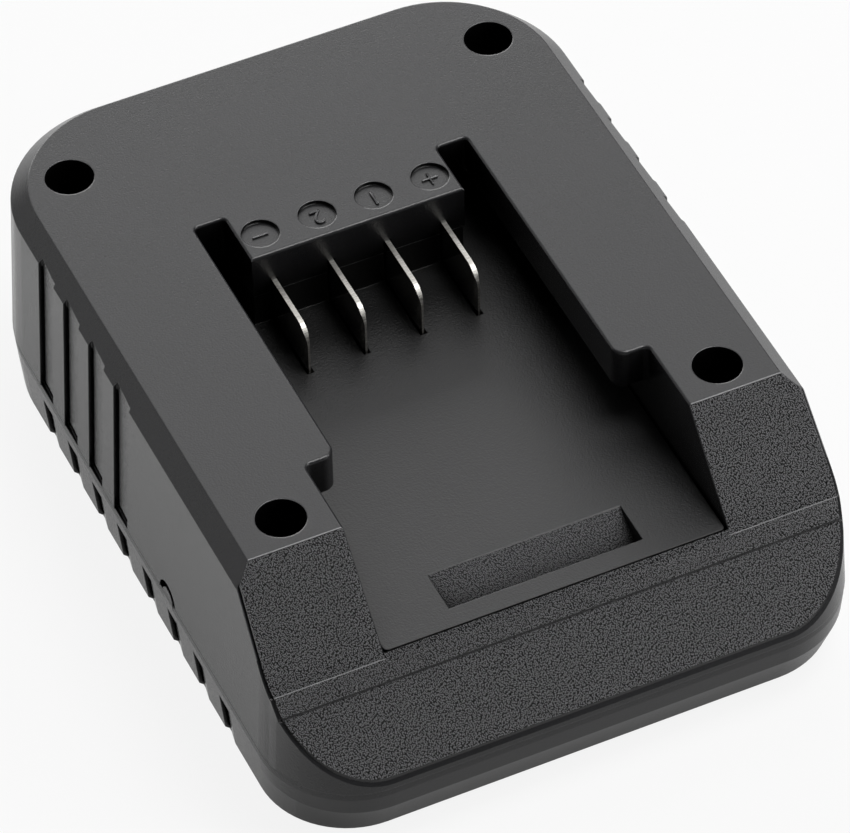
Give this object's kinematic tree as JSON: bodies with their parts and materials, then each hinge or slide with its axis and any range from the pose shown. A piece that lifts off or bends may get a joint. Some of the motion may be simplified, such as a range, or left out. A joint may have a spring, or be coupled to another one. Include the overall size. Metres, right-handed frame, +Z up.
{
  "type": "battery charging dock",
  "caption": "Low dark plastic charging dock: a tool battery slides under two rails onto upright contact blades, with a grained stepped front, side vents and rubber feet.",
  "frame": {"origin": "under the middle of the body, on the surface that the feet stand on", "axes": "+Z up, the dock opens towards -Y and the pack leaves that way, +X to the right seen from the open end"},
  "size_m": [0.1002, 0.1344, 0.0439],
  "materials": {
    "shell_top": "fine moulded matt, coarse grain on the front slopes",
    "shell_base": "fine moulded matt",
    "dock_plastic": "fine moulded matt",
    "blade_metal": "nickel plated, lightly brushed",
    "black_screw": "black oxide",
    "foot_rubber": "matt",
    "board_laminate": "green solder mask",
    "zinc_screw": "zinc plated",
    "jack_plastic": "black, satin",
    "nickel": "nickel plated",
    "can_sleeve": "dark shrink sleeve",
    "ferrite": "dark grey, dull",
    "copper_wire": "enamelled copper",
    "sink_aluminium": "extruded, bare",
    "epoxy": "moulded, dull",
    "fuse_glass": "clear"
  },
  "bodies": {
    "root": {"upper_shell": "shell_top", "lower_shell": "shell_base", "dock_floor": "dock_plastic", "housing_screws": "black_screw", "rubber_feet": "foot_rubber", "circuit_board": "board_laminate", "board_screws": "zinc_screw", "inlet_jack": "jack_plastic", "inlet_pin": "nickel", "input_capacitor": "can_sleeve", "output_capacitor": "can_sleeve", "choke_core": "ferrite", "choke_winding": "copper_wire", "heat_sink": "sink_aluminium", "power_transistor": "epoxy", "power_diode": "epoxy", "heat_sink_screws": "zinc_screw", "controller_chip": "epoxy", "fuse_tube": "fuse_glass", "fuse_caps": "nickel", "fuse_clips": "nickel", "terminal_blade_1": "blade_metal", "terminal_blade_2": "blade_metal", "terminal_blade_3": "blade_metal", "terminal_blade_4": "blade_metal"}
  },
  "joints": []
}
